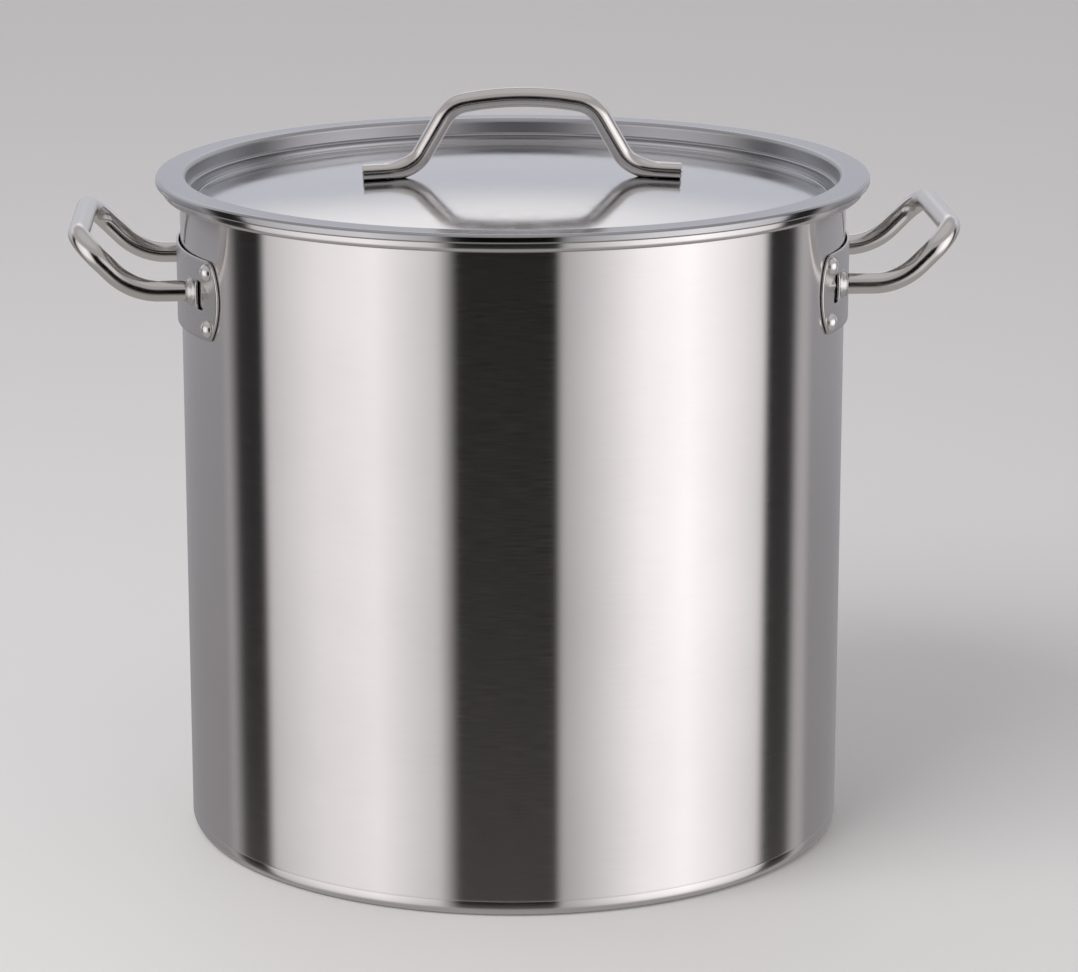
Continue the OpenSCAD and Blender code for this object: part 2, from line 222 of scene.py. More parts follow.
class Track:
    """Stations along a bent tube: its place, its direction and the way up at each step."""

    def __init__(self, start, forward, up):
        self.at = Vector(start)
        self.forward = Vector(forward)
        self.up = Vector(up)
        self.stations = []
        self.mark()

    def mark(self):
        self.stations.append((self.at.copy(), self.forward.copy(), self.up.copy()))

    def run(self, length, steps=4):
        for _ in range(steps):
            self.at += self.forward * (length / steps)
            self.mark()

    def bend(self, axis, radius, angle, steps):
        axis = Vector(axis).normalized()
        centre = self.at + axis.cross(self.forward) * radius
        turn = Matrix.Rotation(math.radians(angle) / steps, 3, axis)
        for _ in range(steps):
            self.at = centre + turn @ (self.at - centre)
            self.forward = turn @ self.forward
            self.up = turn @ self.up
            self.mark()


def round_section(radius):
    """A circle as (across, up) points."""
    angles = [2 * math.pi * i / TUBE_STEPS for i in range(TUBE_STEPS)]
    return [(radius * math.cos(a), radius * math.sin(a)) for a in angles]


def hollow_sweep(stations, outer, inner):
    """A tube with open ends: outer(i) and inner(i) give its two sections at station i."""
    verts, faces, rings = [], [], []

    def ring(i, section, shift=0.0):
        at, forward, up = stations[i]
        across = up.cross(forward)
        rings.append(list(range(len(verts), len(verts) + TUBE_STEPS)))
        for u, v in section:
            verts.append(at + forward * shift + across * u + up * v)

    last = len(stations) - 1
    ring(0, shrunk(outer(0), CHAMFER))
    ring(0, outer(0), CHAMFER)
    for i in range(1, last):
        ring(i, outer(i))
    ring(last, outer(last), -CHAMFER)
    ring(last, shrunk(outer(last), CHAMFER))
    for i in range(last, -1, -1):
        ring(i, inner(i))
    rings.append(rings[0])
    for low, high in zip(rings, rings[1:]):
        for i in range(TUBE_STEPS):
            j = (i + 1) % TUBE_STEPS
            faces.append((low[i], low[j], high[j], high[i]))
    return verts, faces


def shrunk(section, by):
    """A section drawn in towards its middle by a distance."""
    cu = sum(u for u, _ in section) / len(section)
    cv = sum(v for _, v in section) / len(section)
    points = []
    for u, v in section:
        scale = 1 - by / math.hypot(u - cu, v - cv)
        points.append((cu + (u - cu) * scale, cv + (v - cv) * scale))
    return points


def half_turn(verts, side):
    """Points of the right-hand handle, or the same turned half round the pot for side -1."""
    if side > 0:
        return verts
    return [Vector((-v.x, -v.y, v.z)) for v in verts]


# ---------------------------------------------------------------- materials


def new_material(name):
    """A material with its nodes and links."""
    material = bpy.data.materials.new(name)
    material.use_nodes = True
    return material, material.node_tree.nodes, material.node_tree.links


def maths(nodes, links, operation, a, b=None):
    """A sum of one or two numbers or sockets."""
    node = nodes.new("ShaderNodeMath")
    node.operation = operation
    for socket, value in zip(node.inputs, (a, b)):
        if isinstance(value, (int, float)):
            socket.default_value = value
        elif value is not None:
            links.new(value, socket)
    return node.outputs[0]


def blend(nodes, links, factor, a, b):
    """Goes from a to b as the factor goes from 0 to 1. Each is a colour or a socket with one."""
    node = nodes.new("ShaderNodeMix")
    node.data_type = "RGBA"
    links.new(factor, node.inputs["Factor"])
    for socket, value in ((node.inputs["A"], a), (node.inputs["B"], b)):
        if isinstance(value, tuple):
            socket.default_value = (*value, 1)
        else:
            links.new(value, socket)
    return node.outputs["Result"]


def ramp(nodes, links, source, low, high, at=(0.3, 0.7)):
    """Maps the range at, of a grey socket, onto the range from low to high."""
    node = nodes.new("ShaderNodeMapRange")
    node.inputs["From Min"].default_value = at[0]
    node.inputs["From Max"].default_value = at[1]
    node.inputs["To Min"].default_value = low
    node.inputs["To Max"].default_value = high
    links.new(source, node.inputs["Value"])
    return node.outputs["Result"]


def noise(nodes, links, scale, stretch, detail):
    """Noise in the part's own frame, in metres, stretched by a factor on each axis."""
    place = nodes.new("ShaderNodeTexCoord")
    mapping = nodes.new("ShaderNodeMapping")
    mapping.inputs["Scale"].default_value = stretch
    texture = nodes.new("ShaderNodeTexNoise")
    texture.inputs["Scale"].default_value = scale
    texture.inputs["Detail"].default_value = detail
    links.new(place.outputs["Object"], mapping.inputs["Vector"])
    links.new(mapping.outputs["Vector"], texture.inputs["Vector"])
    return texture.outputs["Fac"]


def stepped(nodes, links, colour, gloss, step):
    """Colour and gloss of a turned sheet that change beyond a radius.

    step is (radius, width, colour, dullness): beyond that radius, in mm, the sheet has the other
    colour, a darker painted shade over the lid's recess and flange, and over the width of the step
    itself its roughness is dullness.
    """
    soft = 1.0      # mm either way over which it changes
    radius, width, painted_shade_colour, dullness = step
    place = nodes.new("ShaderNodeTexCoord")
    flat = nodes.new("ShaderNodeVectorMath")
    flat.operation = "MULTIPLY"
    flat.inputs[1].default_value = (1, 1, 0)
    links.new(place.outputs["Object"], flat.inputs[0])
    length = nodes.new("ShaderNodeVectorMath")
    length.operation = "LENGTH"
    links.new(flat.outputs["Vector"], length.inputs[0])
    start = ((radius - soft) * MM, (radius + soft) * MM)
    end = ((radius + width - soft) * MM, (radius + width + soft) * MM)
    beyond = ramp(nodes, links, length.outputs["Value"], 0, 1, start)
    before_end = ramp(nodes, links, length.outputs["Value"], 1, 0, end)
    dulled = nodes.new("ShaderNodeMix")
    dulled.inputs["B"].default_value = dullness
    links.new(maths(nodes, links, "MULTIPLY", beyond, before_end), dulled.inputs["Factor"])
    links.new(gloss, dulled.inputs["A"])
    # past the radius the colour turns to the darker one: painted shade
    return blend(nodes, links, beyond, colour, painted_shade_colour), dulled.outputs["Result"]


def steel(name, colour, tint, roughness, grain, grain_stretch, grain_depth,
          turned_grain=False, step=None):
    """Bare metal: cloudy tint, uneven gloss and a fine grain.

    roughness is a (low, high) range, grain a noise scale, grain_depth in mm. turned_grain draws
    reflections out along Z, as fine marks round the pot do. step is as stepped() says.
    """
    material, nodes, links = new_material(name)
    shader = nodes["Principled BSDF"]
    shader.inputs["Metallic"].default_value = 1.0
    if turned_grain:
        tangent = nodes.new("ShaderNodeTangent")
        tangent.direction_type = "RADIAL"
        tangent.axis = "Z"
        links.new(tangent.outputs["Tangent"], shader.inputs["Tangent"])
        shader.inputs["Anisotropic"].default_value = 1.0
        shader.inputs["Anisotropic Rotation"].default_value = 0.25
    clouds = noise(nodes, links, 9.0, (1, 1, 1), 4.0)
    shown = blend(nodes, links, ramp(nodes, links, clouds, 0, 1), colour, tint)
    streaks = noise(nodes, links, grain, grain_stretch, 5.0)
    gloss = ramp(nodes, links, streaks, *roughness)
    if step:
        shown, gloss = stepped(nodes, links, shown, gloss, step)
    links.new(shown, shader.inputs["Base Color"])
    links.new(gloss, shader.inputs["Roughness"])
    bump = nodes.new("ShaderNodeBump")
    bump.inputs["Strength"].default_value = 1.0
    bump.inputs["Distance"].default_value = grain_depth * MM
    links.new(streaks, bump.inputs["Height"])
    links.new(bump.outputs["Normal"], shader.inputs["Normal"])
    return material


wall_steel = steel("polished_wall", (0.66, 0.64, 0.64), (0.62, 0.60, 0.60), (0.13, 0.17),
                   60.0, (1, 1, 30), 0.0002, turned_grain=True)
# beyond the panel's edge the lid's steel is painted darker, painted shade over the recess walls and the
# flange; over the recess it is also duller
lid_steel = steel("polished_lid", (0.66, 0.66, 0.68), (0.62, 0.62, 0.64), (0.09, 0.13),
                  90.0, (1, 1, 1), 0.0006, step=(PANEL_R, 8.0, (0.43, 0.43, 0.445), 0.32))
handle_steel = steel("handle_tube", (0.70, 0.68, 0.66), (0.64, 0.62, 0.60), (0.12, 0.20),
                     120.0, (1, 6, 6), 0.001)
plate_steel = steel("handle_plate", (0.62, 0.61, 0.60), (0.56, 0.55, 0.54), (0.20, 0.28),
                    90.0, (1, 4, 14), 0.0004)
rivet_steel = steel("rivet", (0.78, 0.77, 0.76), (0.72, 0.71, 0.70), (0.2, 0.28),
                    300.0, (1, 1, 1), 0.001)
weld_steel = steel("weld", (0.62, 0.60, 0.58), (0.50, 0.48, 0.46), (0.26, 0.40),
                   500.0, (1, 1, 1), 0.01)
aluminium = steel("base_aluminium", (0.78, 0.78, 0.79), (0.70, 0.70, 0.71), (0.35, 0.45),
                  150.0, (1, 1, 1), 0.002)

# ---------------------------------------------------------------- pot body


def pot_path():
    """Middle of the body's sheet, from the floor's centre to the edge tucked under the rim."""
    wall = POT_R - SHEET / 2
    top = POT_H - SHEET / 2
    low = POT_H - RIM_H + SHEET / 2
    out = POT_R - 2 * SHEET + RIM_W + SHEET / 2
    in_r, out_r, low_r, tuck_r = 3.2, 3.0, 2.6, 1.0
    tuck_x = POT_R + 2.3
    corner_z = FLOOR_Z + CORNER_R
    floor = FLOOR_Z + SHEET / 2
    return (
        line((0, floor), (POT_R - CORNER_R - EASE, floor), 6)
        + arc(POT_R - CORNER_R, corner_z, CORNER_R - SHEET / 2, -90, 0, 12)
        + line((wall, corner_z + EASE), (wall, top - in_r - EASE), 24)
        + arc(wall + in_r, top - in_r, in_r, 180, 90)
        + arc(out - out_r, top - out_r, out_r, 90, 0)
        + arc(out - low_r, low + low_r, low_r, 0, -90)
        + arc(tuck_x, low + tuck_r, tuck_r, -90, -180, 6)
        + [(tuck_x - tuck_r, low + tuck_r + EASE)]
    )


def build_pot():
    verts, faces = turned(sheet_outline(pot_path(), SHEET), TURN_STEPS)
    add_piece("pot_body", verts, facing_out(verts, faces), wall_steel,
              "pot", ["pot_shell"])


def build_base_cap():
    """The cap: flat below, round the corner, and up to a thin edge that meets the body's corner."""
    x = POT_R - CAP_R
    corner = (POT_R - CORNER_R, FLOOR_Z + CORNER_R)
    body_r = CORNER_R + 0.02    # a hair off the body's corner
    inner_r = CAP_R - CAP_T
    seam_z = FLOOR_Z + CORNER_R - 0.5
    edge_r = 0.1
    seam_a = math.degrees(math.asin((seam_z - corner[1]) / body_r))
    meet_a = -math.degrees(math.acos((x + inner_r - corner[0]) / body_r))
    outline = (
        line((0, 0), (x - EASE, 0), 4)
        + arc(x, CAP_R, CAP_R, -90, 0, 12)
        + arc(POT_R - edge_r, seam_z - edge_r, edge_r, 0, 90, 4)
        + arc(*corner, body_r, seam_a, meet_a, 6)
        + arc(x, CAP_R, inner_r, 0, -90, 8)
        + line((x - EASE, CAP_T), (0, CAP_T), 3)
    )
    verts, faces = turned(outline, TURN_STEPS)
    add_piece("base_cap_skin", verts, facing_out(verts, faces), wall_steel,
              "pot", ["base_cap"])
    paint_node("base_heat_disc", aluminium)


# ---------------------------------------------------------------- side handles

# a plate is bent round its own axis, at x = PLATE_X: it touches the wall near its ends and stands
# PLATE_GAP off it in the middle
PLATE_TOUCH_Y = PLATE_HALF - 1
PLATE_TOUCH_X = math.sqrt((POT_R + 0.1) ** 2 - PLATE_TOUCH_Y ** 2)
PLATE_FRONT = POT_R + PLATE_GAP
PLATE_X = ((PLATE_TOUCH_X ** 2 + PLATE_TOUCH_Y ** 2 - PLATE_FRONT ** 2)
           / (2 * (PLATE_TOUCH_X - PLATE_FRONT)))
PLATE_OUT = PLATE_FRONT - PLATE_X + PLATE_T

# a boss ends flat at BOSS_X, 0.6 short of the outer face at its inner side; RIB_Y is where a rib
# starts and ends across the plate
BOSS_X = PLATE_X + math.sqrt(PLATE_OUT ** 2 - (ARM_Y - BOSS_D / 2) ** 2) - 0.6
RIB_Y = (SLOT_Y + SLOT_SIZE[0] / 2 + 1, PLATE_HALF - 7)


def build_loop(side, name):
    """A tube loop: two arms that bend up and out, joined by a crossbar."""
    wall_play = 0.8
    start = math.sqrt(POT_R ** 2 - (ARM_Y - TUBE_D / 2) ** 2) + wall_play
    track = Track((start, -ARM_Y, ARM_Z), (1, 0, 0), (0, 0, 1))
    track.run(BEND_X - start, 6)
    track.bend((0, -1, 0), BEND_R, BEND_ANGLE, 18)
    track.run(SLOPE_L)
    corner_axis = track.forward.cross(Vector((0, 1, 0)))
    track.bend(corner_axis, LOOP_R, 90, 20)
    track.run(2 * (ARM_Y - LOOP_R), 8)
    track.bend(corner_axis, LOOP_R, 90, 20)
    track.run(SLOPE_L)
    track.bend((0, 1, 0), BEND_R, BEND_ANGLE, 18)
    track.run(BEND_X - start, 6)
    verts, faces = hollow_sweep(track.stations, lambda i: round_section(TUBE_D / 2),
                                lambda i: round_section(TUBE_D / 2 - TUBE_T))
    verts = half_turn(verts, side)
    add_piece(name + "_loop", verts, facing_out(verts, faces), handle_steel,
              "pot", [name + "_handle_tube"])


def plate_outline():
    """Outline of a plate seen from outside: a dipped top, round ends, and pointed lower corners.

    Its points are (across, up). The bottom edge rises by bottom_rise from its middle to its ends.
    """
    end_r, top_r, tip_r = 38.5, 9, 3.4
    tip_inset, bottom_rise = 5, 2
    end_x = PLATE_HALF - end_r
    end_z = RIVET_Z + 1
    top_in = end_x + math.sqrt((end_r - top_r) ** 2 - (PLATE_TOP - top_r - end_z) ** 2)
    top_a = math.degrees(math.acos((top_in - end_x) / (end_r - top_r)))
    tip_a = -39
    tip_cos, tip_sin = math.cos(math.radians(tip_a)), math.sin(math.radians(tip_a))
    tip_x, tip_z = end_x + end_r * tip_cos, end_z + end_r * tip_sin
    half = [(top_in * i / 20, PLATE_TOP - PLATE_DIP * (1 - (i / 20) ** 2)) for i in range(20)]
    half += arc(top_in, PLATE_TOP - top_r, top_r, 90, top_a, 6)
    half += arc(end_x, end_z, end_r, top_a, tip_a, 30)[1:]
    half += arc(tip_x - tip_r * tip_cos, tip_z - tip_r * tip_sin, tip_r, tip_a, -92, 8)[1:]
    for i in range(21):
        share = 1 - i / 20
        half.append(((tip_x - tip_inset) * share, PLATE_BOTTOM + bottom_rise * share ** 2))
    return resampled(half + [(-x, z) for x, z in half[::-1]], 1.6)[::-1]


def slot_outline(centre):
    """A rounded slot at a place across the plate."""
    w, h, r = SLOT_SIZE
    x, z = w / 2 - r, h / 2 - r
    points = arc(x, z, r, 0, 90, 6) + arc(-x, z, r, 90, 180, 6) + arc(-x, -z, r, 180, 270, 6)
    points += arc(x, -z, r, 270, 360, 6)
    return [(centre + px, ARM_Z + pz) for px, pz in resampled(points, 1.2)]


def resampled(loop, step):
    """A closed loop's points with the long gaps filled in and doubles dropped."""
    points = []
    for a, b in zip(loop, loop[1:] + loop[:1]):
        gap = math.dist(a, b)
        if gap < 1e-4:
            continue
        points += line(a, b, max(1, math.ceil(gap / step)))[:-1]
    return points


def loop_normals(loop):
    """Unit normals to the left of a closed loop's direction."""
    found = []
    for i in range(len(loop)):
        ax, ay = loop[i - 1]
        bx, by = loop[(i + 1) % len(loop)]
        length = math.dist((ax, ay), (bx, by))
        found.append((-(by - ay) / length, (bx - ax) / length))
    return found


def signed_area(loop):
    """Area inside a closed loop, negative when it runs clockwise."""
    return sum(a[0] * b[1] - b[0] * a[1] for a, b in zip(loop, loop[1:] + loop[:1])) / 2


def soft_max(values, soft):
    """The largest value, with a smooth change from one to the next within about soft."""
    top = max(values)
    return top + soft * math.log(sum(math.exp((v - top) / soft) for v in values))


def on_plate(y, z, depth):
    """A plate's point at a depth below its outer face, with the arms' bosses and pressed ribs."""
    rib_side_slope, softness = 2, 0.12
    sheet_x = PLATE_X + math.sqrt(PLATE_OUT ** 2 - y ** 2)
    off = math.hypot(abs(y) - ARM_Y, z - ARM_Z)
    slope = BOSS_H / ((BOSS_FOOT_D - BOSS_D) / 2)
    boss_x = BOSS_X - max(off - BOSS_D / 2, 0) * slope
    share = (abs(y) - RIB_Y[0]) / (RIB_Y[1] - RIB_Y[0])
    radius = RIB_R[0] + (RIB_R[1] - RIB_R[0]) * min(max(share, 0), 1)
    past = max(RIB_Y[0] - abs(y), abs(y) - RIB_Y[1], 0)
    aside = math.hypot(past, z - RIB_Z)
    if aside < radius:
        rib_x = sheet_x - RIB_SINK + math.sqrt(radius ** 2 - aside ** 2)
    else:
        rib_x = sheet_x - RIB_SINK - rib_side_slope * (aside - radius)
    return Vector((soft_max((sheet_x, boss_x, rib_x), softness) - depth, y, z))


def inside(point, loop):
    """Whether a point lies inside a closed loop."""
    x, y = point
    crossings = 0
    for (ax, ay), (bx, by) in zip(loop, loop[1:] + loop[:1]):
        if (ay > y) != (by > y) and x < (bx - ax) * (y - ay) / (by - ay) + ax:
            crossings += 1
    return crossings % 2 == 1


def clear_of(point, loop, room):
    """Whether a point lies further than room from every edge of a closed loop."""
    x, y = point
    for (ax, ay), (bx, by) in zip(loop, loop[1:] + loop[:1]):
        dx, dy = bx - ax, by - ay
        share = ((x - ax) * dx + (y - ay) * dy) / max(dx * dx + dy * dy, 1e-12)
        share = min(max(share, 0), 1)
        if math.hypot(ax + share * dx - x, ay + share * dy - y) <= room:
            return False
    return True


def plate_grid():
    """Points over a plate: rings round the arms' bosses, and a grid that is finer over the ribs."""
    rings, first, spacing = 9, TUBE_D / 2 + 1.1, 0.6
    boss_room = 12.8                    # the grid keeps this far from an arm's axis
    rib_room_y, rib_room_z = 8, 9       # it is fine this far about a slot's and a rib's middle
    points = []
    for end in (-1, 1):
        for ring in range(rings):
            points += arc(end * ARM_Y, ARM_Z, first + spacing * ring, 0, 360, 60)[:-1]
    for row in range(int(PLATE_TOP - PLATE_BOTTOM) + 1):
        for column in range(-int(PLATE_HALF), int(PLATE_HALF) + 1):
            z = PLATE_BOTTOM + row
            fine = abs(column) > SLOT_Y - rib_room_y and abs(z - RIB_Z) < rib_room_z
            coarse = row % 2 == 0 and column % 2 == 0
            off = math.hypot(abs(column) - ARM_Y, z - ARM_Z)
            if (fine or coarse) and off > boss_room:
                points.append((column, z))
    return points


def plate_loops():
    """A plate's closed loops with their fillets: its outline, then its slots and arm holes.

    Each runs with the sheet on its left.
    """
    outline = plate_outline()
    if signed_area(outline) < 0:
        outline = outline[::-1]
    loops = [(outline, PLATE_FILLET)]
    for end in (-1, 1):
        hole = arc(end * ARM_Y, ARM_Z, TUBE_D / 2 + HOLE_PLAY, 0, 360, 48)[:-1]
        for cut in (slot_outline(end * SLOT_Y), hole):
            loops.append((cut[::-1] if signed_area(cut) > 0 else cut, HOLE_FILLET))
    return loops


def plate_face(rims):
    """Points and triangles of a plate's flat pattern within its rims, whose points come first."""
    room = 0.6
    flat, edges = [], []
    for rim in rims:
        start = len(flat)
        flat += rim
        edges += [(start + i, start + (i + 1) % len(rim)) for i in range(len(rim))]

    def on_sheet(point):
        return inside(point, rims[0]) and not any(inside(point, rim) for rim in rims[1:])

    for point in plate_grid():
        if on_sheet(point) and all(clear_of(point, rim, room) for rim in rims):
            flat.append(point)
    points, _, triangles, _, _, _ = geometry.delaunay_2d_cdt(
        [Vector(p) for p in flat], edges, [], 0, 1e-6)
    borderline = set(edges)     # each has the sheet on its left
    kept = []
    for tri in triangles:
        sides = [(tri[i], tri[(i + 1) % 3]) for i in range(3)]
        if any(side in borderline for side in sides):
            kept.append(tuple(tri))
        elif not any((b, a) in borderline for a, b in sides):
            if on_sheet([sum(points[i][k] for i in tri) / 3 for k in (0, 1)]):
                kept.append(tuple(tri))
    return points, kept


def build_plate(side, name):
    """A curved plate with rounded edges, slots, arm holes, bosses and pressed ribs."""
    fillet_steps = 4
    loops = plate_loops()
    rims = []       # the loops, drawn in to where their fillets meet the outer face
    for loop, r in loops:
        normals = loop_normals(loop)
        rims.append([(x + nx * r, y + ny * r) for (x, y), (nx, ny) in zip(loop, normals)])
    points, triangles = plate_face(rims)
    count = len(points)
    verts = [on_plate(p[0], p[1], 0) for p in points]
    verts += [on_plate(p[0], p[1], PLATE_T) for p in points]
    faces = list(triangles)
    faces += [tuple(i + count for i in reversed(tri)) for tri in triangles]
    start = 0
    for loop, r in loops:
        normals = loop_normals(loop)
        steps = []      # (inset, depth) of each ring of points, from the outer face to the inner one
        for k in range(1, fillet_steps + 1):
            a = math.radians(90 * k / fillet_steps)
            steps.append((r * (1 - math.sin(a)), r * (1 - math.cos(a))))
        steps += [(0, PLATE_T - CHAMFER), (CHAMFER, PLATE_T)]
        rings = [list(range(start, start + len(loop)))]
        for inset, depth in steps:
            rings.append(list(range(len(verts), len(verts) + len(loop))))
            for (x, y), (nx, ny) in zip(loop, normals):
                verts.append(on_plate(x + nx * inset, y + ny * inset, depth))
        rings.append([i + count for i in rings[0]])
        start += len(loop)
        for high, low in zip(rings, rings[1:]):
            for i in range(len(loop)):
                j = (i + 1) % len(loop)
                faces.append((high[i], low[i], low[j], high[j]))
    verts = half_turn(verts, side)
    add_piece(name + "_plate", verts, facing_out(verts, faces), plate_steel,
              "pot", [name + "_handle_plate"])


def dome_radius(width, height):
    """Radius of the sphere whose cap has this width and height."""
    return ((width / 2) ** 2 + height ** 2) / (2 * height)


def rivet_outline():
    """A rivet's outline from the tip of its outer head to the tip of its inner one, along +Z."""
    seat = (PLATE_X * math.cos(math.radians(RIVET_ANGLE))
            + math.sqrt(PLATE_OUT ** 2 - (PLATE_X * math.sin(math.radians(RIVET_ANGLE))) ** 2) + 0.05)
    head_r = dome_radius(RIVET_HEAD_D, RIVET_HEAD_H)
    half = math.degrees(math.asin(RIVET_HEAD_D / 2 / head_r))
    inner_seat = POT_R - SHEET
    inner_d, inner_h = 8.5, 1.6
    inner_r = dome_radius(inner_d, inner_h)
    inner_half = math.degrees(math.asin(inner_d / 2 / inner_r))
    head = arc(0, seat + RIVET_HEAD_H - head_r, head_r, 90, 90 - half, 14)
    back = arc(0, inner_seat - inner_h + inner_r, inner_r, -90 + inner_half, -90, 8)
    underside = [(RIVET_HEAD_D / 2 - 0.1, seat - 0.25), (RIVET_D / 2, seat - 0.3)]
    inner_underside = [(RIVET_D / 2, inner_seat), (inner_d / 2, inner_seat + 0.05)]
    return head + underside + inner_underside + back


def build_rivets(side, name):
    """Four rivets a plate, set square to the sheet. Those named front are towards -Y."""
    outward = Matrix.Rotation(math.radians(90), 3, "Y")
    for end, where in ((-1, "front"), (1, "rear")):
        for level, height in ((-1, "lower"), (1, "upper")):
            verts, faces = turned(rivet_outline(), 40)
            faces = facing_out(verts, faces)
            angle = end * side * RIVET_ANGLE + (0 if side > 0 else 180)
            about = Matrix.Rotation(math.radians(angle), 3, "Z")
            lift = Vector((0, 0, RIVET_Z + level * RIVET_GAP / 2))
            verts = [about @ (outward @ v) + lift for v in verts]
            node = f"{name}_rivet_{where}_{height}"
            add_piece(node + "_body", verts, faces, rivet_steel, "pot", [node])


def build_arm_welds(side, name):
    """A rippled bead round each arm where it enters its boss."""
    steps, bead_steps = 96, 10
    bead_r = 0.5
    middle_r = TUBE_D / 2 + 0.35    # of the bead's own middle
    for end, where in ((-1, "front"), (1, "rear")):
        verts, faces = [], []
        for i in range(steps):
            a = 2 * math.pi * i / steps
            ripple = 1 + 0.1 * math.sin(22 * a) + 0.06 * math.sin(5 * a + 1)
            for k in range(bead_steps):
                b = 2 * math.pi * k / bead_steps
                rho = middle_r + bead_r * ripple * math.cos(b)
                y = end * side * ARM_Y + rho * math.cos(a)
                z = ARM_Z + rho * math.sin(a)
                x = on_plate(y, z, 0).x
                verts.append(Vector((x + bead_r * ripple * math.sin(b), y, z)))
        for i in range(steps):
            for k in range(bead_steps):
                j, m = (i + 1) % steps, (k + 1) % bead_steps
                faces.append((i * bead_steps + k, j * bead_steps + k,
                              j * bead_steps + m, i * bead_steps + m))
        verts = half_turn(verts, side)
        add_piece(f"{name}_weld_{where}_bead", verts, facing_out(verts, faces), weld_steel,
                  "pot", [f"{name}_weld_{where}"])


# ---------------------------------------------------------------- lid

PANEL_Z = LID_Z - PANEL_DEPTH
DOME_R = dome_radius(2 * PANEL_R, PANEL_RISE)
CROWN_Z = PANEL_Z + PANEL_RISE


def lid_path():
    """Middle of the lid's sheet, from the panel's centre to the edge's hem."""
    flange_z = LID_Z - LID_T / 2
    edge_x = LID_R - LID_T / 2
    edge_r, hem_r, mouth_r, step_r, foot_r = 1.6, 0.75, 2.5, 1.0, 0.8
    ledge_w, foot_out, hem_l, flat_room = 2.4, 1.2, 1.2, 0.6
    hem_z = LID_Z - LID_EDGE_H + LID_T / 2 + hem_r
    recess_x = RECESS_R + LID_T / 2
    step_x = recess_x - ledge_w
    step_z = LID_Z - LEDGE_DEPTH - LID_T / 2
    reach = PANEL_R - foot_r
    dome = []
    for i in range(49):
        x = reach * i / 48
        dome.append((x, CROWN_Z - LID_T / 2 - DOME_R + math.sqrt(DOME_R ** 2 - x ** 2)))
    return (
        dome
        + arc(reach + foot_out, PANEL_Z + foot_r, foot_r, -60, 0, 8)
        + arc(step_x + step_r, step_z - step_r, step_r, 180, 90, 8)
        + arc(recess_x - step_r, step_z + step_r, step_r, -90, 0, 8)
        + arc(recess_x + mouth_r, flange_z - mouth_r, mouth_r, 180, 90, 12)
        + line((recess_x + mouth_r + flat_room, flange_z), (edge_x - edge_r - flat_room, flange_z), 3)
        + arc(edge_x - edge_r, flange_z - edge_r, edge_r, 90, 0, 10)
        + arc(edge_x - hem_r, hem_z, hem_r, 0, -180, 10)
        + [(edge_x - 2 * hem_r, hem_z + hem_l)]
    )


def build_lid():
    verts, faces = turned(sheet_outline(lid_path(), LID_T), TURN_STEPS)
    add_piece("lid_pressing", verts, facing_out(verts, faces), lid_steel,
              "lid", ["lid_shell"])


def grip_track():
    """Stations of the right half of the grip, from its middle to its foot's tip, and the foot's start.

    They are measured from the panel's crown. The foot lies along the dome at foot_mid from the axis.
    """
    foot_mid = 85.6
    foot_drop = DOME_R - math.sqrt(DOME_R ** 2 - foot_mid ** 2)
    foot_angle = math.degrees(math.asin(foot_mid / DOME_R))
    arch_r, arch_angle, shoulder_r, ankle_r = 190, 10.5, 19, 20

    def sin(a):
        return math.sin(math.radians(a))

    def cos(a):
        return math.cos(math.radians(a))

    shoulder_x = arch_r * sin(arch_angle) + shoulder_r * (sin(LEG_ANGLE) - sin(arch_angle))
    shoulder_z = (GRIP_H - arch_r * (1 - cos(arch_angle))
                  - shoulder_r * (cos(arch_angle) - cos(LEG_ANGLE)))
    ankle_x = ankle_r * (sin(LEG_ANGLE) - sin(foot_angle))
    ankle_z = -ankle_r * (cos(foot_angle) - cos(LEG_ANGLE))
    slope = math.tan(math.radians(foot_angle))
    leg = ((shoulder_z + ankle_z + foot_drop - FOOT_AXIS / cos(foot_angle)
            + (shoulder_x + ankle_x - foot_mid) * slope)
           / (sin(LEG_ANGLE) - cos(LEG_ANGLE) * slope))
    foot_x = shoulder_x + ankle_x + leg * cos(LEG_ANGLE)
    track = Track((0, 0, GRIP_H), (1, 0, 0), (0, 0, 1))
    track.bend((0, 1, 0), arch_r, arch_angle, 10)
    track.bend((0, 1, 0), shoulder_r, LEG_ANGLE - arch_angle, 16)
    track.run(leg, 6)
    track.bend((0, -1, 0), ankle_r, LEG_ANGLE - foot_angle, 20)
    foot_start = track.at.copy()
    track.run(GRIP_HALF - foot_x, 28)
    return track.stations, foot_start


def foot_section(wall, share, dimple):
    """Section of the grip: round at share 0, pressed flat at share 1, its top pushed in by a dimple."""
    squareness = 2.8    # 2 is an ellipse
    power = 2 / squareness
    radius = GRIP_D / 2 - wall
    half_w = FOOT_W / 2 - wall
    half_h = FOOT_H / 2 - wall
    middle = FOOT_H / 2 - FOOT_AXIS
    points = []
    for i in range(TUBE_STEPS):
        a = 2 * math.pi * i / TUBE_STEPS
        c, s = math.cos(a), math.sin(a)
        flat_u = half_w * math.copysign(abs(c) ** power, c)
        flat_v = middle + half_h * math.copysign(abs(s) ** power, s)
        u = radius * c * (1 - share) + flat_u * share
        v = radius * s * (1 - share) + flat_v * share
        if s > 0:
            v -= dimple * math.exp(-(u / DIMPLE_W) ** 2)
        points.append((u, v))
    return points


def smooth(x):
    """Goes smoothly from 0 to 1 as x does."""
    x = min(max(x, 0.0), 1.0)
    return x * x * (3 - 2 * x)


